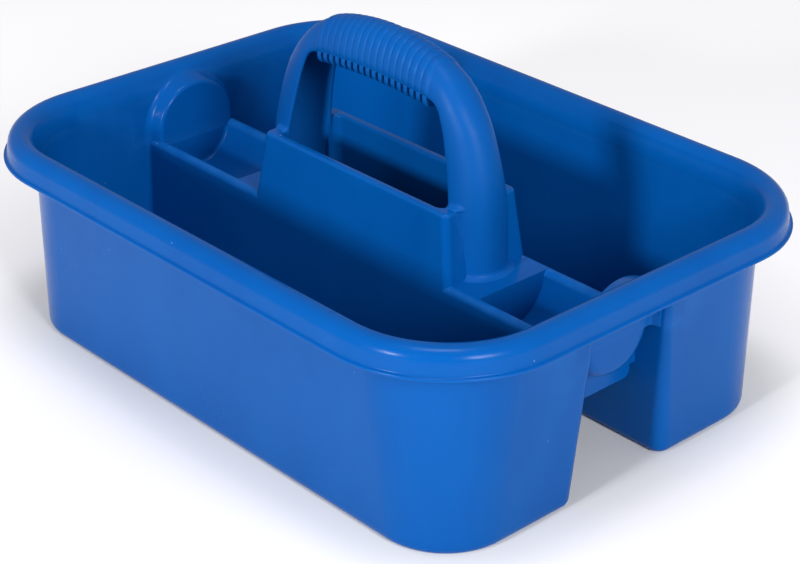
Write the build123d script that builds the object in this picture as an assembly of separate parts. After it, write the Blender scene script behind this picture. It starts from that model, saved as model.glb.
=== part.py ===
from build123d import *

import math
import os

# Cleaning caddy: two deep bins side by side, a rolled rim round both, and a centre ridge that carries
# a pocket at each end, a well in the middle and an arched carrying handle.
# Millimetres. Origin at the centre of the footprint on the floor, X along the length, Y across, +Z up.

# ---- driving dimensions ----
LENGTH = 464.0            # over the rim
WIDTH = 352.0
HEIGHT = 235.0            # top of the handle
WALL = 2.5                # moulded wall
RIM_CORNER_R = 84.0       # plan radius of the rim's outer edge

SEAM_Z = 124.0            # the bins' outer walls end here and the rim begins
RIM_INSET = 20.5          # from the rim's outer edge in to the outer face of the walls
ROLL_IN = 11.75           # the roll's centre, in from the rim's outer edge
ROLL_Z = 136.4
ROLL_R = 8.7              # outer radius of the roll
ROLL_END = 30.0           # degrees above level where the roll passes into the larger inner curve
LIP_Z = 127.5             # lower edge of the rim's lip
LIP_TURN_IN = 0.9         # how far the rim's outer leg stands out from the roll at its foot
LIP_FACE_H = 3.5          # height of the lip, up to where the outer leg begins
BEAD_H = 2.2              # the bead along the lip's outer edge
BEAD_PROUD = 0.7
BEAD_FLANK = (1.7, 2.5)   # a point of its upper flank, in from the edge and above the lip
FOOT_X = 208.0            # half length and half width over the bins at the floor
FOOT_Y = 148.0
FOOT_CORNER_R = 46.0
FOOT_FILLET = 6.0         # floor to wall

CHANNEL_FOOT_Y = 38.5     # half width of the open channel between the bins, at the floor
CHANNEL_TOP_Y = 32.5      # and just under the ridge
CHANNEL_CORNER_FOOT_R = 9.5    # the bins' vertical corners beside the channel, at the floor
CHANNEL_CORNER_TOP_R = 3.6     # and at the rim seam
MOUTH_X = 206.0           # from here out the channel keeps its full width up to the rim
MOUTH_R = 4.5             # rounding of the end wall's corners beside it

RIDGE_Z = 98.5            # top of the centre ridge
RIDGE_OUT_Y = CHANNEL_TOP_Y + WALL
RIDGE_IN_Y = 27.0
RIDGE_R = (RIDGE_OUT_Y - RIDGE_IN_Y) / 2
RIDGE_SEAT_Z = RIDGE_Z - RIDGE_R

POCKET_R = RIDGE_IN_Y     # half-round pocket in the ridge
POCKET_FAR_Z = 99.5       # its axis, at the drum
POCKET_NEAR_Z = 96.0      # and at its inner end, where the pocket is deeper
POCKET_FAR_X = 198.0      # its end, the face of the drum
POCKET_NEAR_X = 115.0     # its inner end, under the deck's edge
POCKET_END_R = 7.0        # outer rounding of its closed end

DRUM_R = 31.5             # the drum that stands in from the end wall, closing the pocket
DRUM_AXIS_Z = 103.5
DRUM_ROOT_R = 36.6        # it widens to this at DRUM_ROOT_X, just inside the rim's roll
DRUM_ROOT_X = 214.0
DRUM_EDGE_R = 3.0         # rounding round its face
DRUM_INNER_EDGE_R = 2.0   # and of the hollow behind it
DRUM_FOOT_R = 5.0         # hollow blend round its foot
DRUM_BASE_X = LENGTH / 2 - RIM_INSET - WALL
END_WALL_X = 204.0        # the end wall piece is cut from the wall outside this
END_WALL_Y = 49.0         # half width of the end wall piece that carries the drum
WEB_X = 186.0             # cross web under each pocket, outer face
WEB_FOOT_Z = 52.5
WEB_RELIEF_Z = 61.0       # slots beside the web reach up to here
WEB_SLOT = 5.0            # their width, and the rounding of the web's lower corners

WELL_TOP_Z = 143.5
WELL_TOP_X = 85.5
WELL_TOP_Y = 31.0
WELL_BASE_X = 92.8
WELL_MOUTH_X = 76.5
WELL_MOUTH_Y = 24.7
WELL_FOOT_Z = 62.0
WELL_CORNER_R = 5.0
LINER_CORNER_R = 6.0
LINER_DRAFT_X = 2.0       # how much narrower the well is at its foot, each side
LINER_DRAFT_Y = 1.0
WELL_OUTER_R = 2.4        # rounding of its top, outside and towards the mouth
WELL_MOUTH_R = 2.2
DOOR_HALF = 17.0          # half width of the opening from the well into the hollow post

END_LEAN = math.atan((LENGTH / 2 - RIM_INSET - FOOT_X) / SEAM_Z)     # the end walls' outward lean
TURN = math.cos(math.radians(ROLL_END) - END_LEAN)
LEG_R = ((RIM_INSET + WALL - ROLL_IN) * math.cos(END_LEAN) + (SEAM_Z - ROLL_Z) * math.sin(END_LEAN)
         - ROLL_R * TURN) / (1 - TURN)       # the larger inner curve, ending in line with the end wall

# the handle's shell: (inner edge x, z), (crest x, z), half width across
HANDLE_STATIONS = [
    ((78.5, 98.5), (101.0, 98.5), 20.5),
    ((76.4, 143.5), (99.4, 144.5), 19.5),
    ((72.0, 165.0), (94.6, 166.5), 17.5),
    ((67.0, 186.0), (86.0, 189.5), 16.0),
    ((61.2, 200.0), (74.5, 206.5), 15.2),
    ((54.0, 205.3), (61.0, 219.5), 15.0),
]
GRIP_STATIONS = [
    ((54.0, 205.3), (61.0, 219.5), 15.0),
    ((44.0, 207.0), (46.0, 226.5), 15.0),
    ((22.0, 208.5), (24.0, 232.0), 15.0),
    ((0.0, 209.0), (0.0, HEIGHT - 1.2), 15.0),
]
RIB_COUNT = 18
RIB_PITCH = 5.7
RIB_WIDTH = 4.1
RIB_PROUD = 1.2
FIN_WIDTH = 2.9
FIN_HALF = 14.8           # half width of a fin's tooth, just inside the grip's flanks
FIN_DROP = 7.0            # how far the teeth reach below the grip's edge
FIN_CORNER_R = 4.0
FIN_ROOT = 2.0            # how far the fins inside the grip start below its edge
FIN_LAP = 0.5             # how far the teeth run up into them

CUT = 60.0                # half width of the trimming boxes, clear of the whole centre ridge
PAST = 1.0                # how far a trimming shape runs past the face it trims


def outline(x0, x1, y0, y1, z, radii):
    """Flat rounded rectangle at height z; radii run +X-Y, +X+Y, -X+Y, -X-Y."""
    r1, r2, r3, r4 = radii
    k = math.sqrt(0.5)
    edges = [
        Line((x0 + r4, y0), (x1 - r1, y0)),
        ThreePointArc((x1 - r1, y0), (x1 - r1 + r1 * k, y0 + r1 - r1 * k), (x1, y0 + r1)),
        Line((x1, y0 + r1), (x1, y1 - r2)),
        ThreePointArc((x1, y1 - r2), (x1 - r2 + r2 * k, y1 - r2 + r2 * k), (x1 - r2, y1)),
        Line((x1 - r2, y1), (x0 + r3, y1)),
        ThreePointArc((x0 + r3, y1), (x0 + r3 - r3 * k, y1 - r3 + r3 * k), (x0, y1 - r3)),
        Line((x0, y1 - r3), (x0, y0 + r4)),
        ThreePointArc((x0, y0 + r4), (x0 + r4 - r4 * k, y0 + r4 - r4 * k), (x0 + r4, y0)),
    ]
    return Pos(0, 0, z) * make_face(edges)


def slab(x0, x1, y0, y1, z0, z1):
    return Pos((x0 + x1) / 2, (y0 + y1) / 2, (z0 + z1) / 2) * Box(x1 - x0, y1 - y0, z1 - z0)


def mix(low, high, z):
    """A drafted wall's place at height z, from its place at the floor and at the rim seam."""
    return low + (high - low) * z / SEAM_Z


def channel_y(z):
    """Half width of the channel at height z."""
    return CHANNEL_FOOT_Y + (CHANNEL_TOP_Y - CHANNEL_FOOT_Y) * z / RIDGE_SEAT_Z


def tub_sizes(z, inset):
    x = mix(FOOT_X, LENGTH / 2 - RIM_INSET, z) - inset
    y = mix(FOOT_Y, WIDTH / 2 - RIM_INSET, z) - inset
    r = mix(FOOT_CORNER_R, RIM_CORNER_R - RIM_INSET, z) - inset
    return x, y, r


def tub_block(inset, z0, z1):
    """Solid between z0 and z1 whose sides are the outer walls, moved inwards by inset."""
    faces = []
    for z in (z0, z1):
        x, y, r = tub_sizes(z, inset)
        faces.append(outline(-x, x, -y, y, z, (r, r, r, r)))
    return loft(faces, ruled=True)


def bin_block(inset, z0, z1):
    """One bin's solid body on the -Y side, moved inwards by inset on every side wall."""
    faces = []
    for z in (z0, z1):
        x, y, r = tub_sizes(z, inset)
        c = mix(CHANNEL_CORNER_FOOT_R, CHANNEL_CORNER_TOP_R, z) - inset
        faces.append(outline(-x, x, -y, -channel_y(z) - inset, z, (r, c, c, r)))
    return loft(faces, ruled=True)


def make_bin():
    """Front bin: floor, outer walls up to the rim seam, channel wall up to the ridge."""
    outer = bin_block(0, 0, SEAM_Z)
    outer = fillet(outer.edges().group_by(Axis.Z)[0], FOOT_FILLET)
    inner = bin_block(WALL, WALL, SEAM_Z + PAST)
    inner = fillet(inner.edges().group_by(Axis.Z)[0], FOOT_FILLET - WALL)
    shell = outer - inner
    above_ridge = slab(-LENGTH, LENGTH, -END_WALL_Y, 0, RIDGE_SEAT_Z, SEAM_Z + PAST)
    return shell - above_ridge


def drum_block(inset, edge_r):
    """Round block from the end wall's inside: arched above the drum's axis, straight-sided below it."""
    face_x, side_r, root_r = POCKET_FAR_X + inset, DRUM_R - inset, DRUM_ROOT_R - inset
    section = make_face(Polyline((face_x, 0), (face_x, side_r), (DRUM_ROOT_X, root_r), (DRUM_ROOT_X, 0),
                                 close=True))
    corner = section.vertices().sort_by(Axis.X)[:2].sort_by(Axis.Y)[-1]
    section = fillet(corner, edge_r)
    arch = Pos(0, 0, DRUM_AXIS_Z) * revolve(Plane.XZ * section, axis=Axis.X)
    arch = arch & slab(0, LENGTH, -END_WALL_Y, END_WALL_Y, DRUM_AXIS_Z, HEIGHT)
    side = extrude(Pos(0, 0, RIDGE_SEAT_Z) * section, DRUM_AXIS_Z - RIDGE_SEAT_Z)
    return arch + side + mirror(side, Plane.XZ)


def root_edges(body):
    """The edges where a drum block meets the wall and the rim behind it."""
    found = []
    for edge in body.edges():
        c = edge.center()
        reach = math.hypot(c.Y, max(c.Z - DRUM_AXIS_Z, 0))
        if DRUM_BASE_X - 2 * PAST < c.X < DRUM_ROOT_X and DRUM_R - PAST < reach < DRUM_ROOT_R:
            found.append(edge)
    return found


def backing():
    """Everything outside the end wall's inner face and the rim's inner curve."""
    top, low = math.radians(ROLL_END), END_LEAN
    foot = (DRUM_BASE_X - (SEAM_Z - RIDGE_SEAT_Z) * math.tan(low), RIDGE_SEAT_Z)
    crest = (LENGTH / 2 - ROLL_IN, ROLL_Z + ROLL_R)
    leg_low, leg_mid, leg_top = [from_edge(leg_point(LEG_R, a)) for a in (low, (low + top) / 2, top)]
    roll_mid = from_edge(roll_point(ROLL_R, (top + math.pi / 2) / 2))
    edges = [
        Line(foot, leg_low),
        ThreePointArc(leg_low, leg_mid, leg_top),
        ThreePointArc(leg_top, roll_mid, crest),
        Line(crest, (LENGTH / 2, crest[1])),
        Line((LENGTH / 2, crest[1]), (LENGTH / 2, foot[1])),
        Line((LENGTH / 2, foot[1]), foot),
    ]
    return extrude(Plane.XZ * make_face(edges), END_WALL_Y, both=True)


def open_air():
    """Everything outside the end wall's outer face, below the rim."""
    lean = math.tan(END_LEAN) * (SEAM_Z - RIDGE_SEAT_Z)
    x = DRUM_BASE_X + WALL
    corners = [(x - lean, RIDGE_SEAT_Z), (x, SEAM_Z), (LENGTH / 2, SEAM_Z), (LENGTH / 2, RIDGE_SEAT_Z)]
    return extrude(Plane.XZ * make_face(Polyline(*corners, close=True)), END_WALL_Y, both=True)


def channel_mouth():
    """The channel's air carried up at full width through the end wall, arched like the drum."""
    y, x1 = CHANNEL_TOP_Y, LENGTH / 2
    arch = Pos((MOUTH_X + x1) / 2, 0, DRUM_AXIS_Z) * Rot(0, 90, 0) * Cylinder(y, x1 - MOUTH_X)
    block = arch + slab(MOUTH_X, x1, -y, y, RIDGE_SEAT_Z, DRUM_AXIS_Z)
    return block & slab(MOUTH_X, x1, -y, y, RIDGE_SEAT_Z, SEAM_Z)


def end_wall():
    """Right end wall above the channel, with the drum that stands in from it round the tunnel's end."""
    wall = tub_block(0, RIDGE_SEAT_Z, SEAM_Z) - tub_block(WALL, RIDGE_SEAT_Z - PAST, SEAM_Z + PAST)
    wall = wall & slab(END_WALL_X, LENGTH, -END_WALL_Y, END_WALL_Y, RIDGE_SEAT_Z, SEAM_Z)
    behind = backing()
    blended = drum_block(0, DRUM_EDGE_R) + behind
    drum = fillet(root_edges(blended), DRUM_FOOT_R) - behind
    mouth = channel_mouth() + open_air()
    rim_edges = [edge for edge in root_edges(mouth) if edge.center().X > DRUM_BASE_X]
    mouth = fillet(rim_edges, MOUTH_R)
    return (wall + drum) - mouth - drum_block(WALL, DRUM_INNER_EDGE_R)


def closed_tube(lie, radius, end_x, end_r):
    """Round bar along the pocket's axis, cut square at end_x and rounded there."""
    bar = lie * Cylinder(radius, LENGTH / 2)
    bar = bar & slab(0, end_x, -CUT, CUT, 0, HEIGHT)
    return fillet(bar.edges().group_by(Axis.X)[-1], end_r)


def pocket():
    """Right pocket: half-round trough, its closed end and the cross web under it."""
    slope = math.degrees(math.atan2(POCKET_FAR_Z - POCKET_NEAR_Z, POCKET_FAR_X - POCKET_NEAR_X))
    length = POCKET_FAR_X - POCKET_NEAR_X
    mid = Pos((POCKET_FAR_X + POCKET_NEAR_X) / 2, 0, (POCKET_FAR_Z + POCKET_NEAR_Z) / 2)
    lie = mid * Rot(0, 90 - slope, 0)
    outer = closed_tube(lie, POCKET_R + WALL, POCKET_FAR_X + WALL, POCKET_END_R)
    inner = closed_tube(lie, POCKET_R, POCKET_FAR_X, WALL)
    keep = slab(POCKET_NEAR_X, LENGTH, -CUT, CUT, 0, RIDGE_SEAT_Z)
    trough = (outer - inner) & keep
    side = channel_y(WEB_FOOT_Z)
    web = slab(WEB_X - WALL, WEB_X, WEB_SLOT - side, side - WEB_SLOT, WEB_FOOT_Z, RIDGE_SEAT_Z)
    lower = web.edges().filter_by(Axis.X).group_by(Axis.Z)[0]
    web = fillet(lower, WEB_SLOT)
    wings = slab(WEB_X - WALL, WEB_X, -CUT, CUT, WEB_RELIEF_Z, RIDGE_SEAT_Z) & channel_core()
    bore = lie * Cylinder(POCKET_R + WALL / 2, 2 * length)
    return trough + ((web + wings) - bore)


def channel_core():
    """The air between the bins, used to trim what spans it."""
    lower = outline(-LENGTH, LENGTH, -CHANNEL_FOOT_Y, CHANNEL_FOOT_Y, 0, (PAST,) * 4)
    upper = outline(-LENGTH, LENGTH, -CHANNEL_TOP_Y, CHANNEL_TOP_Y, RIDGE_SEAT_Z, (PAST,) * 4)
    return loft([lower, upper], ruled=True)


def ridge_pair(right_end):
    """Front ridge: rounded caps over the double wall, left and right of the well."""
    x0, x1 = WELL_BASE_X - WELL_CORNER_R, DRUM_BASE_X
    centre_y = -(RIDGE_OUT_Y + RIDGE_IN_Y) / 2
    bar = Pos((x0 + x1) / 2, centre_y, RIDGE_SEAT_Z) * Rot(0, 90, 0) * Cylinder(RIDGE_R, x1 - x0)
    cap = bar & slab(x0, x1, -CUT, 0, RIDGE_SEAT_Z, RIDGE_Z + PAST)
    cap = cap - slab(x0, POCKET_NEAR_X, centre_y, 0, RIDGE_SEAT_Z, RIDGE_Z + PAST)
    cap = cap - drum_block(0, DRUM_EDGE_R) - right_end - well_block(0)
    return [cap, mirror(cap, Plane.YZ)]


def deck():
    """Right deck: flat shelf between the well and the pocket, with the pocket's inner end wall."""
    half = (RIDGE_OUT_Y + RIDGE_IN_Y) / 2
    shelf = slab(WELL_BASE_X, POCKET_NEAR_X, -half, half, RIDGE_SEAT_Z, RIDGE_Z)
    corner_fill = slab(WELL_BASE_X - WELL_CORNER_R, WELL_BASE_X, -half, half, RIDGE_SEAT_Z, RIDGE_Z)
    shelf = shelf + (corner_fill - well_block(0))
    drop = Pos(POCKET_NEAR_X - WALL / 2, 0, POCKET_NEAR_Z) * Rot(0, 90, 0) * Cylinder(
        POCKET_R + WALL, WALL)
    drop = drop - slab(0, LENGTH, -CUT, CUT, RIDGE_SEAT_Z, HEIGHT)
    return shelf + drop


def well_block(inset):
    """Outer body of the well's double wall."""
    faces = []
    for x, y, z in ((WELL_BASE_X, RIDGE_OUT_Y, RIDGE_SEAT_Z), (WELL_TOP_X, WELL_TOP_Y, WELL_TOP_Z - inset)):
        x, y = x - inset, y - inset
        faces.append(outline(-x, x, -y, y, z, (WELL_CORNER_R,) * 4))
    return loft(faces, ruled=True)


def well():
    """Handle well: double box wall above the ridge, and its liner running on below, open right through."""
    bore = well_liner(0, PAST)
    post = post_body(HANDLE_STATIONS[:2], 0)
    box = well_block(0)
    box = fillet(box.edges().group_by(Axis.Z)[-1], WELL_OUTER_R) - well_block(WALL) - bore
    mouth = [e for e in box.edges().group_by(Axis.Z)[-1] if abs(e.center().Y) < WELL_MOUTH_Y + PAST
             and abs(e.center().X) < WELL_MOUTH_X + PAST]
    walls = fillet(mouth, WELL_MOUTH_R) + (well_liner(WALL) - post)
    sill = slab(WELL_MOUTH_X - WALL, WELL_BASE_X, -RIDGE_IN_Y, RIDGE_IN_Y, RIDGE_SEAT_Z, RIDGE_Z)
    sill = sill & well_block(0)
    door = slab(WELL_MOUTH_X - 2 * WALL, HANDLE_STATIONS[0][0][0], -DOOR_HALF, DOOR_HALF,
                RIDGE_Z, WELL_TOP_Z + PAST)
    return walls + sill + mirror(sill, Plane.YZ) - bore - post - door - mirror(door, Plane.YZ)


def well_liner(grow, past=0.0):
    """The well's inner face as a solid, grown outwards by grow and run past its ends."""
    x, y, r = WELL_MOUTH_X + grow, WELL_MOUTH_Y + grow, LINER_CORNER_R + grow
    foot_x, foot_y = x - LINER_DRAFT_X, y - LINER_DRAFT_Y
    low = outline(-foot_x, foot_x, -foot_y, foot_y, WELL_FOOT_Z - past, (r,) * 4)
    top = outline(-x, x, -y, y, WELL_TOP_Z - WALL + 2 * WALL * past, (r,) * 4)
    return loft([low, top], ruled=True)


def d_section(station, inset, grow=0.0):
    """Half ellipse across the handle, flat side on the inner edge. A shrunk one runs past the flat side."""
    (ix, iz), (cx, cz), half = station
    direction = Vector(cx - ix, 0, cz - iz)
    depth = direction.length - inset + grow
    width = half - inset + grow
    plane = Plane(origin=(ix, 0, iz), x_dir=direction, z_dir=direction.cross(Vector(0, 1, 0)))
    arc = EllipticalCenterArc((0, 0), depth, width, start_angle=-90, arc_size=180)
    back = -FIN_ROOT if inset else 0.0
    corners = [arc @ 1, (back, width), (back, -width), arc @ 0]
    closing = [Line(a, b) for a, b in zip(corners[:-1], corners[1:]) if Vector(a) != Vector(b)]
    return plane * make_face([arc, *closing])


def post_body(stations, inset, grow=0.0):
    """Solid along the stations on the +X side and its mirror on the -X side."""
    right = half_arch(stations, inset, grow)
    return right + mirror(right, Plane.YZ)


def half_arch(stations, inset, grow=0.0):
    return loft([d_section(s, inset, grow) for s in stations], ruled=True)


def post():
    """Right post: a curved shell, open towards the well, from the deck to the grip."""
    outer = half_arch(HANDLE_STATIONS, 0)
    inner = half_arch(HANDLE_STATIONS, WALL)
    return outer - inner


def grip_arch(inset, grow=0.0):
    right = half_arch(GRIP_STATIONS, inset, grow)
    return right + mirror(right, Plane.YZ)


def rib_centres():
    first = -(RIB_COUNT - 1) / 2 * RIB_PITCH
    return [first + i * RIB_PITCH for i in range(RIB_COUNT)]


def grip():
    return grip_arch(0) - grip_arch(WALL)


def grip_ribs():
    """Raised bands over the grip."""
    skin = grip_arch(0, RIB_PROUD) - grip_arch(0)
    above = slab(-LENGTH, LENGTH, -CUT, CUT, GRIP_STATIONS[0][0][1] - 2 * WALL, HEIGHT + WALL)
    ribs = []
    for x in rib_centres():
        band = slab(x - RIB_WIDTH / 2, x + RIB_WIDTH / 2, -CUT, CUT, 0, HEIGHT + WALL)
        ribs.append(skin & band & above)
    return ribs


def edge_z(x):
    """Height of the grip's lower edge at x."""
    points = [inner for inner, crest, half in GRIP_STATIONS]
    for (x1, z1), (x0, z0) in zip(points[:-1], points[1:]):
        if x0 <= abs(x) <= x1:
            return z0 + (z1 - z0) * (abs(x) - x0) / (x1 - x0)


def grip_fins():
    """Cross fins inside the grip, one under each rib, ending in round-cornered teeth below its edge."""
    core = grip_arch(WALL)
    body = grip_arch(0)
    fins = []
    for x in rib_centres():
        x0, x1 = x - FIN_WIDTH / 2, x + FIN_WIDTH / 2
        tooth = slab(x0, x1, -FIN_HALF, FIN_HALF, edge_z(x) - FIN_DROP, edge_z(x) + FIN_LAP)
        tooth = fillet(tooth.edges().filter_by(Axis.X).group_by(Axis.Z)[0], FIN_CORNER_R)
        plate = slab(x0, x1, -FIN_HALF, FIN_HALF, edge_z(x) - FIN_ROOT, HEIGHT)
        fins.append((core & plate) + (tooth - body))
    return fins


def roll_point(radius, angle):
    """A point of the rim's roll as (in from the outer edge, height)."""
    return ROLL_IN + radius * math.cos(angle), ROLL_Z + radius * math.sin(angle)


def leg_point(radius, angle):
    """A point of the larger curve that runs on from the roll down into the wall."""
    along = math.radians(ROLL_END)
    centre_in = ROLL_IN + (ROLL_R - LEG_R) * math.cos(along)
    centre_z = ROLL_Z + (ROLL_R - LEG_R) * math.sin(along)
    return centre_in + radius * math.cos(angle), centre_z + radius * math.sin(angle)


def from_edge(point):
    return LENGTH / 2 - point[0], point[1]


def rim():
    """Rolled rim: a roll with an outer leg and beaded lip, and an inner curve down into the walls."""
    top, low = math.radians(ROLL_END), END_LEAN
    middle = (top + low) / 2
    thin = ROLL_R - WALL
    face = (ROLL_IN - ROLL_R - LIP_TURN_IN, LIP_Z + LIP_FACE_H)
    bead_low, bead_top = (BEAD_PROUD, LIP_Z), (BEAD_PROUD, LIP_Z + BEAD_H)
    back = (face[0] + WALL, LIP_Z)
    edges = [
        ThreePointArc(roll_point(ROLL_R, math.pi), roll_point(ROLL_R, math.pi / 2), roll_point(ROLL_R, top)),
        ThreePointArc(roll_point(ROLL_R, top), leg_point(LEG_R, middle), leg_point(LEG_R, low)),
        Line(leg_point(LEG_R, low), (RIM_INSET + WALL, SEAM_Z)),
        Line((RIM_INSET + WALL, SEAM_Z), (RIM_INSET, SEAM_Z)),
        Line((RIM_INSET, SEAM_Z), leg_point(LEG_R - WALL, low)),
        ThreePointArc(leg_point(LEG_R - WALL, low), leg_point(LEG_R - WALL, middle), roll_point(thin, top)),
        ThreePointArc(roll_point(thin, top), roll_point(thin, math.pi / 2), roll_point(thin, math.pi)),
        Line(roll_point(thin, math.pi), back),
        Line(back, bead_low),
        ThreePointArc(bead_low, (0, LIP_Z + BEAD_H / 2), bead_top),
        ThreePointArc(bead_top, (BEAD_FLANK[0], LIP_Z + BEAD_FLANK[1]), face),
        Line(face, roll_point(ROLL_R, math.pi)),
    ]
    section = make_face(edges)
    x, y, r = LENGTH / 2, WIDTH / 2, RIM_CORNER_R
    path = outline(-x, x, -y, y, 0, (r, r, r, r)).face().outer_wire()
    start = path @ 0
    tangent = path % 0
    inward = Vector(0, 0, 1).cross(tangent)
    profile = Plane(origin=start, x_dir=inward, z_dir=inward.cross(Vector(0, 0, 1))) * section
    ring = sweep(profile, path=path)
    recess = drum_block(WALL, DRUM_INNER_EDGE_R)
    return ring - recess - mirror(recess, Plane.YZ)


def save(name, shapes):
    if not isinstance(shapes, (list, tuple)):
        shapes = [shapes]
    solids = []
    for shape in shapes:
        solids.extend(shape.solids())
    export_step(Compound(solids) if len(solids) > 1 else solids[0], f"parts/{name}.step")


os.makedirs("parts", exist_ok=True)

front = make_bin()
save("front_bin", front)
save("rear_bin", mirror(front, Plane.XZ))
save("rim", rim())

right_end = end_wall()
front_ridge = ridge_pair(right_end)
save("front_ridge", front_ridge)
save("rear_ridge", [mirror(cap, Plane.XZ) for cap in front_ridge])

right_pieces = {"end_wall": right_end, "pocket": pocket(), "deck": deck(), "handle_post": post()}
for name, piece in right_pieces.items():
    save("right_" + name, piece)
    save("left_" + name, mirror(piece, Plane.YZ))

save("handle_well", well())
save("grip", grip())
save("grip_ribs", grip_ribs())
save("grip_fins", grip_fins())
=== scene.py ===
import math

import bmesh
import bpy
from mathutils import Matrix, Vector


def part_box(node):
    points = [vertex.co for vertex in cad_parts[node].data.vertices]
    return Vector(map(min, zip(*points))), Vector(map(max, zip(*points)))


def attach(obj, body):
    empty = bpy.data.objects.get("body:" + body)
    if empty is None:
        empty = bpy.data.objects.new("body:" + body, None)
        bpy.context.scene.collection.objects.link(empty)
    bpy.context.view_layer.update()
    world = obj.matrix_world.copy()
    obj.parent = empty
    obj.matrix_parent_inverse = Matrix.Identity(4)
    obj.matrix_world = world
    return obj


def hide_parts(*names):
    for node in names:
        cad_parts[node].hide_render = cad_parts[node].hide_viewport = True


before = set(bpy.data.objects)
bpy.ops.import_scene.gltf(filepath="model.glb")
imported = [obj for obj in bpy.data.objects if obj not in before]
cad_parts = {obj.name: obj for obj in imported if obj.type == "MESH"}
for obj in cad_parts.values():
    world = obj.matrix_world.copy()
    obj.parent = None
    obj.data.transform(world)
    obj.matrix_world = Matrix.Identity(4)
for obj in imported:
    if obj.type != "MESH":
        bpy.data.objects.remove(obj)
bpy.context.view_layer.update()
MM = 0.001


# ---- materials: one moulded polypropylene, in variants for walls and for the handle ----
class Tree:
    """Short-hand for building a material's node tree."""

    def __init__(self, name):
        self.mat = bpy.data.materials.new(name)
        self.mat.use_nodes = True
        self.nodes = self.mat.node_tree.nodes
        self.links = self.mat.node_tree.links
        self.shader = self.nodes["Principled BSDF"]

    def add(self, kind, **props):
        node = self.nodes.new(kind)
        for key, value in props.items():
            setattr(node, key, value)
        return node

    def link(self, a, b):
        self.links.new(a, b)

    def noise(self, vector, scale, detail=2.0, rough=0.5):
        node = self.add("ShaderNodeTexNoise")
        node.inputs["Scale"].default_value = scale
        node.inputs["Detail"].default_value = detail
        node.inputs["Roughness"].default_value = rough
        self.link(vector, node.inputs["Vector"])
        return node.outputs["Fac"]

    def remap(self, value, low, high, to_low, to_high):
        node = self.add("ShaderNodeMapRange")
        for key, v in (("From Min", low), ("From Max", high), ("To Min", to_low), ("To Max", to_high)):
            node.inputs[key].default_value = v
        self.link(value, node.inputs["Value"])
        return node.outputs["Result"]

    def math(self, operation, a, b):
        node = self.add("ShaderNodeMath", operation=operation)
        for socket, v in zip(node.inputs, (a, b)):
            if isinstance(v, (int, float)):
                socket.default_value = v
            else:
                self.link(v, socket)
        return node.outputs["Value"]

    def mix(self, fac, a, b):
        node = self.add("ShaderNodeMix", data_type="RGBA")
        self.link(fac, node.inputs["Factor"])
        for key, v in (("A", a), ("B", b)):
            socket = [s for s in node.inputs if s.name == key and s.type == "RGBA"][0]
            if isinstance(v, tuple):
                socket.default_value = v
            else:
                self.link(v, socket)
        return [s for s in node.outputs if s.type == "RGBA"][0]


BLUE = (0.0006, 0.078, 0.315, 1)
BLUE_WORN = (0.010, 0.115, 0.40, 1)
BLUE_DEEP = (0.0004, 0.067, 0.285, 1)
SPECK = (0.30, 0.42, 0.70, 1)
FLOW_SCALE = 14.0           # noise scales, in cells per metre
FLOW_STRETCH = 0.45         # under 1, it draws the flow marks out upwards
FLOW_RANGE = (0.35, 0.68)   # flow noise at which the blue starts to deepen, and is deepest
PATCH_SCALE = 60.0
PATCH_LEAST = 0.3           # share of the wear left where the patches are faintest
SPECK_SCALE = 85.0
SPECK_PICK_SCALE = 23.0
SMEAR_SCALE = 22.0
FINE_SCALE = 900.0
PEEL_SCALE = 260.0
WORN_EDGE = (0.53, 0.62)    # pointiness at which an edge starts to show wear, and is fully worn
SPECK_SIZE = 0.035          # share of a cell
SPECK_SHARE = 0.60          # specks show only where the picking noise is above this
SPECK_STRENGTH = 0.5
SMEAR_GLOSS = (-0.035, 0.05)     # how far smears and the fine grain move the roughness
FINE_GLOSS = (-0.02, 0.02)
NOISE_RANGE = (0.3, 0.7)    # where most of a noise's values lie
FINE_PART, PEEL_PART = 0.35, 0.65     # shares of the bump's height
BUMP_HEIGHT = 0.0006        # metres
PLASTIC_IOR = 1.49
PLASTIC_SPECULAR = 0.09


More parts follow.
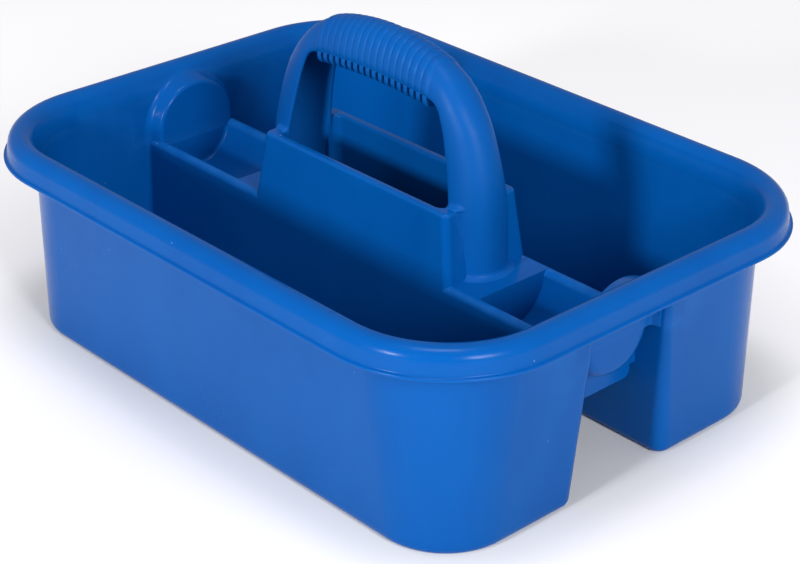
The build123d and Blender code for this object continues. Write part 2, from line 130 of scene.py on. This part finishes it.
def moulded_plastic(name, grain, gloss, wear):
    """Satin moulded plastic: flow mottling, faint worn edges, dust specks, fine grain in bump and gloss."""
    t = Tree(name)
    place = t.add("ShaderNodeTexCoord").outputs["Object"]
    stretched = t.add("ShaderNodeMapping")
    stretched.inputs["Scale"].default_value = (1.0, 1.0, FLOW_STRETCH)
    t.link(place, stretched.inputs["Vector"])
    flow = t.noise(stretched.outputs["Vector"], FLOW_SCALE, 3.0, 0.55)
    colour = t.mix(t.remap(flow, *FLOW_RANGE, 0.0, 1.0), BLUE, BLUE_DEEP)
    # edges rub paler where they stand proud
    edge = t.add("ShaderNodeNewGeometry").outputs["Pointiness"]
    patch = t.noise(place, PATCH_SCALE, 3.0, 0.6)
    proud = t.remap(edge, *WORN_EDGE, 0.0, wear)
    rubbed = t.math("MULTIPLY", proud, t.remap(patch, 0.35, 0.65, PATCH_LEAST, 1.0))
    colour = t.mix(rubbed, colour, BLUE_WORN)
    # a few pale dust specks
    cells = t.add("ShaderNodeTexVoronoi")
    cells.inputs["Scale"].default_value = SPECK_SCALE
    t.link(place, cells.inputs["Vector"])
    near = t.math("LESS_THAN", cells.outputs["Distance"], SPECK_SIZE)
    pick = t.math("GREATER_THAN", t.noise(place, SPECK_PICK_SCALE, 1.0), SPECK_SHARE)
    speck = t.math("MULTIPLY", t.math("MULTIPLY", near, pick), SPECK_STRENGTH)
    colour = t.mix(speck, colour, SPECK)
    t.link(colour, t.shader.inputs["Base Color"])
    # gloss varies with the grain and with handling marks
    smear = t.noise(place, SMEAR_SCALE, 4.0, 0.6)
    fine = t.noise(place, FINE_SCALE, 2.0, 0.6)
    handled = t.remap(smear, *NOISE_RANGE, gloss + SMEAR_GLOSS[0], gloss + SMEAR_GLOSS[1])
    rough = t.math("ADD", handled, t.remap(fine, *NOISE_RANGE, *FINE_GLOSS))
    t.link(rough, t.shader.inputs["Roughness"])
    peel = t.noise(place, PEEL_SCALE, 2.0, 0.5)
    height = t.math("ADD", t.math("MULTIPLY", fine, FINE_PART), t.math("MULTIPLY", peel, PEEL_PART))
    bump = t.add("ShaderNodeBump")
    bump.inputs["Strength"].default_value = grain
    bump.inputs["Distance"].default_value = BUMP_HEIGHT
    t.link(height, bump.inputs["Height"])
    t.link(bump.outputs["Normal"], t.shader.inputs["Normal"])
    t.shader.inputs["IOR"].default_value = PLASTIC_IOR
    t.shader.inputs["Specular IOR Level"].default_value = PLASTIC_SPECULAR
    return t.mat


wall_plastic = moulded_plastic("blue_plastic_walls", grain=0.08, gloss=0.22, wear=0.5)
grip_plastic = moulded_plastic("blue_plastic_handle", grain=0.14, gloss=0.42, wear=0.35)

SAME_POINT = 1e-6           # points closer than this, in metres, are one
SHARP_ANGLE = 40            # edges turning more than this many degrees are rounded
# nodes whose edges are rounded, and by how many millimetres
SOFT = {"handle_well": 0.7, "left_deck": 0.5, "right_deck": 0.5, "left_pocket": 0.6, "right_pocket": 0.6}


def soften(obj, width):
    """Rounds a CAD node's sharp edges a little, as a mould's edges are."""
    weld = obj.modifiers.new("weld", "WELD")
    weld.merge_threshold = SAME_POINT
    bevel = obj.modifiers.new("bevel", "BEVEL")
    bevel.width = width * MM
    bevel.segments = 3
    bevel.limit_method = "ANGLE"
    bevel.angle_limit = math.radians(SHARP_ANGLE)
    bevel.use_clamp_overlap = True
    bevel.harden_normals = True


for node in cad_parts.values():
    node.data.materials.clear()
    node.data.materials.append(wall_plastic)
for node_name, soft_width in SOFT.items():
    soften(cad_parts[node_name], soft_width)


def finish_piece(name, verts, faces, smooth):
    """Makes a piece of the handle from millimetre points and rides it on the one body."""
    mesh = bpy.data.meshes.new(name)
    mesh.from_pydata([tuple(c * MM for c in v) for v in verts], [], faces)
    mesh.validate()
    bm = bmesh.new()
    bm.from_mesh(mesh)
    bmesh.ops.remove_doubles(bm, verts=bm.verts, dist=SAME_POINT)
    bmesh.ops.recalc_face_normals(bm, faces=bm.faces)
    for face in bm.faces:
        face.smooth = smooth
    bm.to_mesh(mesh)
    bm.free()
    obj = bpy.data.objects.new(name, mesh)
    bpy.context.scene.collection.objects.link(obj)
    obj.data.materials.append(grip_plastic)
    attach(obj, "root")
    return obj


# ---- handle: one D-section shell swept up the left post, along the grip and down the right post ----
DECK_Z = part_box("right_deck")[1].z / MM
# (inner edge x, z), (crest x, z), half width across, from the deck up to the middle of the grip
STATIONS = [
    ((78.5, DECK_Z), (101.0, DECK_Z), 20.5),
    ((77.6, 121.0), (100.6, 121.5), 20.2),
    ((76.4, 143.5), (99.2, 145.0), 19.3),
    ((72.4, 165.0), (94.8, 167.0), 17.5),
    ((67.2, 186.0), (86.8, 189.0), 16.2),
    ((63.6, 196.0), (79.6, 200.5), 15.7),
    ((60.6, 201.5), (73.0, 209.0), 15.3),
    ((55.0, 205.2), (62.5, 219.0), 15.0),
    ((44.0, 207.0), (46.6, 227.2), 15.0),
    ((22.0, 208.5), (23.6, 232.3), 15.0),
    ((0.0, 209.0), (0.0, 234.0), 15.0),
]
SECTIONS = 560              # spans along the handle
OUTER_N = 44                # spans round a section's outside, its inside and each of its two lips
INNER_N = 30
LIP_N = 5
ROUNDNESS = 2 / 2.25        # 1 is an ellipse, and less is squarer
SHELL = 2.5
BLEND = 4.0                 # hollow radius at the deck
RIBS = 18
RIB_PITCH = 5.7
RIB_PROUD = 0.85
RIB_CROWN = 0.28            # share of a rib's height that is its rounded top
RIB_FADE = 0.05             # a rib fades out over this share of the section's depth, at its flat side
GROOVE = 0.13               # share of the pitch that each side of a groove takes
WELL_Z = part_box("handle_well")[1].z / MM
WELL_BLEND = 3.2            # hollow radius at the well's top
WELL_LAP = 1.0              # the flare there starts this far below it
WELL_SIDE = (0.50, 0.28)    # it fades in between these shares of the section's depth


def spline(values, chords, at):
    """Catmull-Rom value at distance `at` along the chords."""
    i = 0
    while i < len(chords) - 2 and at > chords[i + 1]:
        i += 1
    span = chords[i + 1] - chords[i]
    t = (at - chords[i]) / span
    p0, p1 = values[max(i - 1, 0)], values[i]
    p2, p3 = values[i + 1], values[min(i + 2, len(values) - 1)]
    c0, c3 = chords[max(i - 1, 0)], chords[min(i + 2, len(values) - 1)]
    m1 = (p2 - p0) / max(chords[i + 1] - c0, 1e-9) * span
    m2 = (p3 - p1) / max(c3 - chords[i], 1e-9) * span
    t2, t3 = t * t, t * t * t
    return (2 * t3 - 3 * t2 + 1) * p1 + (t3 - 2 * t2 + t) * m1 + (3 * t2 - 2 * t3) * p2 + (t3 - t2) * m2


def smooth_step(a, b, x):
    """Rises smoothly from 0 at a to 1 at b, which may be the smaller."""
    t = min(max((x - a) / (b - a), 0.0), 1.0)
    return t * t * (3 - 2 * t)


def handle_sections():
    """Evenly spaced sections: (inner point, crest point, half width), right side then mirrored."""
    whole = STATIONS + [((-i[0], i[1]), (-c[0], c[1]), w) for i, c, w in reversed(STATIONS[:-1])]
    rows = [(i[0], i[1], c[0], c[1], w) for i, c, w in whole]
    chords = [0.0]
    for a, b in zip(rows[:-1], rows[1:]):
        chords.append(chords[-1] + 0.5 * (math.dist(a[:2], b[:2]) + math.dist(a[2:4], b[2:4])))
    out = []
    for k in range(SECTIONS + 1):
        at = chords[-1] * k / SECTIONS
        out.append([spline([r[j] for r in rows], chords, at) for j in range(5)])
    return out


def rib_height(x):
    """Broad, slightly crowned bands with narrow grooves between them."""
    reach = RIBS * RIB_PITCH / 2
    if abs(x) >= reach:
        return 0.0
    phase = (x + reach) / RIB_PITCH % 1.0
    flat = smooth_step(0.0, GROOVE, phase) * smooth_step(1.0, 1.0 - GROOVE, phase)
    return flat * (1 - RIB_CROWN + RIB_CROWN * math.sin(math.pi * phase))


def bridge(rows):
    """Faces between each closed row of point numbers and the next."""
    faces = []
    for a, b in zip(rows[:-1], rows[1:]):
        for k in range(len(a)):
            j = (k + 1) % len(a)
            faces.append((a[k], a[j], b[j], b[k]))
    return faces


def hollow_blend(radius, above):
    """How far a hollow fillet stands out at this height above its foot."""
    return radius - math.sqrt(max(radius ** 2 - (radius - min(max(above, 0.0), radius)) ** 2, 0.0))


def half_round(t):
    """Point of a squarish half section at angle t, as shares of its depth and half width."""
    c, d = max(math.cos(t), 0.0), math.sin(t)
    return c ** ROUNDNESS, math.copysign(abs(d) ** ROUNDNESS, d)


def outside(section):
    """The section's outer curve, with its ribs and its flares at the deck and at the well's top."""
    ix, iz, cx, cz, half = section
    depth = math.dist((ix, iz), (cx, cz))
    foot = hollow_blend(BLEND, min(iz, cz) - DECK_Z)
    at_well = hollow_blend(WELL_BLEND, iz - WELL_Z) if iz > WELL_Z - WELL_LAP else 0.0
    ring = []
    for k in range(OUTER_N + 1):
        u, v = half_round(-math.pi / 2 + math.pi * k / OUTER_N)
        rib = RIB_PROUD * rib_height(ix + (cx - ix) * u)
        rib *= smooth_step(0.0, RIB_FADE, u)
        grow = foot + rib + at_well * smooth_step(*WELL_SIDE, u)
        ring.append((u * (depth + grow), v * (half + grow)))
    return ring


def lip(side):
    """The rounded edge of the shell at this offset across."""
    points = []
    for k in range(1, LIP_N):
        a = math.pi * k / LIP_N
        points.append((-math.sin(a) * SHELL / 2, side + math.cos(a) * SHELL / 2))
    return points


def handle_shell():
    """Points and faces of the whole handle, open towards the well and the hand."""
    verts, rows = [], []
    for section in handle_sections():
        ix, iz, cx, cz, half = section
        depth = math.dist((ix, iz), (cx, cz))
        ax, az = (cx - ix) / depth, (cz - iz) / depth
        side = half - SHELL / 2
        ring = outside(section) + lip(side)
        for k in range(INNER_N + 1):
            u, v = half_round(math.pi / 2 - math.pi * k / INNER_N)
            ring.append((u * (depth - SHELL), v * (half - SHELL)))
        ring += lip(-side)
        row = []
        for u, v in ring:
            row.append(len(verts))
            verts.append((ix + ax * u, v, iz + az * u))
        rows.append(row)
    return verts, bridge(rows)


shell_verts, shell_faces = handle_shell()
handle = finish_piece("handle_shell", shell_verts, shell_faces, smooth=True)
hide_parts("left_handle_post", "right_handle_post", "grip", "grip_ribs")


def edge_z(x):
    """Height of the grip's lower edge at x."""
    points = [inner for inner, crest, half in STATIONS]
    for (x1, z1), (x0, z0) in zip(points[:-1], points[1:]):
        if x0 <= abs(x) <= x1:
            return z0 + (z1 - z0) * (abs(x) - x0) / (x1 - x0)


TOOTH = 8.4                 # how far the teeth hang below the grip's edge
TOOTH_HALF = 15.3
TOOTH_R = 5.5
TOOTH_ARC_N = 10
SHOULDER = (0.7, 5.0)       # the fin's upper corners: share of its half width, and depth below its crest
STEP_Z = (-1.0, 1.4)        # it narrows to the shell's inside between these heights beside the edge
CREST = 0.62                # the fin's crest, as a share of the way up to the grip's top
# a fin's profile across its thickness: (offset, how far the outline is drawn in)
TOOTH_X = ((-1.55, 0.45), (-1.4, 0.12), (-1.1, 0.0), (1.1, 0.0), (1.4, 0.12), (1.55, 0.45))


def tooth_outline(x, inset):
    """Closed outline (y, z) of one cross fin: round lower corners below the grip's edge."""
    points = []
    edge = edge_z(x)
    half, low, r = TOOTH_HALF - inset, edge - TOOTH + inset, TOOTH_R - inset
    for side, first in ((-1, 180), (1, 270)):
        for k in range(TOOTH_ARC_N + 1):
            a = math.radians(first + 90 / TOOTH_ARC_N * k)
            points.append((side * (half - r) + r * math.cos(a), low + r + r * math.sin(a)))
    inner = TOOTH_HALF - SHELL / 2
    crest = edge + CREST * (STATIONS[-1][1][1] - edge)
    right = [(half, edge + STEP_Z[0]), (inner, edge + STEP_Z[1]), (SHOULDER[0] * inner, crest - SHOULDER[1])]
    left = [(-y, z) for y, z in reversed(right)]
    points += right + [(0.0, crest)] + left
    return points


def grip_comb():
    """One cross fin with its tooth under each rib."""
    verts, faces = [], []
    for i in range(RIBS):
        x = (i - (RIBS - 1) / 2) * RIB_PITCH
        loops = []
        for dx, inset in TOOTH_X:
            loop = []
            for y, z in tooth_outline(x, inset):
                loop.append(len(verts))
                verts.append((x + dx, y, z))
            loops.append(loop)
        faces += bridge(loops)
        faces.append(tuple(reversed(loops[0])))
        faces.append(tuple(loops[-1]))
    return verts, faces


comb_verts, comb_faces = grip_comb()
comb = finish_piece("grip_comb", comb_verts, comb_faces, smooth=False)
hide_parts("grip_fins")


# ---- camera, lights and floor ----
def add_camera():
    """A view from the front right and above, given by bearing, height and tilt about a target."""
    azimuth = math.radians(46.72)
    elevation = math.radians(27.75)
    roll = math.radians(0.73)
    distance = 1.38429
    target = Vector((0.00635, 0.00669, 0.0547))
    back = Vector((math.sin(azimuth) * math.cos(elevation),
                   -math.cos(azimuth) * math.cos(elevation),
                   math.sin(elevation)))
    right = (-back).cross(Vector((0, 0, 1))).normalized()
    up = right.cross(-back)
    side = right * math.cos(roll) + up * math.sin(roll)
    top = up * math.cos(roll) - right * math.sin(roll)
    data = bpy.data.cameras.new("camera")
    data.sensor_width = 36
    data.lens = 94.72
    data.clip_start = 0.05
    data.clip_end = 30
    cam = bpy.data.objects.new("camera", data)
    bpy.context.scene.collection.objects.link(cam)
    basis = Matrix((side, top, back)).transposed().to_4x4()
    cam.matrix_world = Matrix.Translation(target + back * distance) @ basis
    bpy.context.scene.camera = cam


def add_light(name, place, aim, size, power, colour=(1, 1, 1)):
    data = bpy.data.lights.new(name, "AREA")
    data.shape = "RECTANGLE"
    data.size, data.size_y = size
    data.energy = power
    data.color = colour
    light = bpy.data.objects.new(name, data)
    bpy.context.scene.collection.objects.link(light)
    light.location = place
    light.rotation_mode = "QUATERNION"
    light.rotation_quaternion = (Vector(aim) - Vector(place)).to_track_quat("-Z", "Y")


AIM = (0, 0, 0.08)          # what the lights point at
KEY_DISTANCE = 2.2


def from_bearing(azimuth, elevation, distance):
    """A place seen from the object at this bearing (0 is in front) and height, in metres."""
    a, e = math.radians(azimuth), math.radians(elevation)
    return (distance * math.cos(e) * math.sin(a), -distance * math.cos(e) * math.cos(a),
            AIM[2] + distance * math.sin(e))


add_camera()
add_light("front_light", from_bearing(8, 20, KEY_DISTANCE), AIM, (0.32, 0.32), 32)
add_light("side_light", from_bearing(74, 27, KEY_DISTANCE), AIM, (0.62, 0.5), 32)
add_light("overhead_light", (0.2, -0.2, 2.4), AIM, (0.7, 0.7), 17, (0.93, 0.88, 1.0))

WORLD_LIGHT = 0.42
world = bpy.data.worlds.new("studio")
bpy.context.scene.world = world
world.use_nodes = True
background = world.node_tree.nodes["Background"]
background.inputs["Color"].default_value = (1, 1, 1, 1)
background.inputs["Strength"].default_value = WORLD_LIGHT
bpy.context.scene.view_settings.view_transform = "Standard"

bpy.ops.mesh.primitive_plane_add(size=12, location=(0, 0, 0))
floor = bpy.context.object
floor.name = "floor"
SHADE_X, SHADE_Y = 0.25, 0.19     # half size of the painted shadow under the caddy, a dark oval where the floor does not glow, in metres
SHADE_EDGE = (0.9, 1.7)     # the glow starts at this many times its size, and is full at this many
FLOOR_GLOW = 0.24
FLOOR_GREY = 0.80
ground = Tree("floor")
ground.shader.inputs["Base Color"].default_value = (FLOOR_GREY, FLOOR_GREY, FLOOR_GREY, 1)
ground.shader.inputs["Roughness"].default_value = 0.7
ground.shader.inputs["Emission Color"].default_value = (1, 1, 1, 1)
# painted shadow: the floor's own glow fades out in an oval under the caddy, so that the channel stays dark
reach = ground.add("ShaderNodeMapping")
reach.inputs["Scale"].default_value = (1 / SHADE_X, 1 / SHADE_Y, 1.0)
ground.link(ground.add("ShaderNodeTexCoord").outputs["Object"], reach.inputs["Vector"])
away = ground.add("ShaderNodeVectorMath", operation="LENGTH")
ground.link(reach.outputs["Vector"], away.inputs[0])
glow_outside_painted_shadow = ground.remap(away.outputs["Value"], *SHADE_EDGE, 0.0, FLOOR_GLOW)
ground.link(glow_outside_painted_shadow, ground.shader.inputs["Emission Strength"])
floor.data.materials.append(ground.mat)
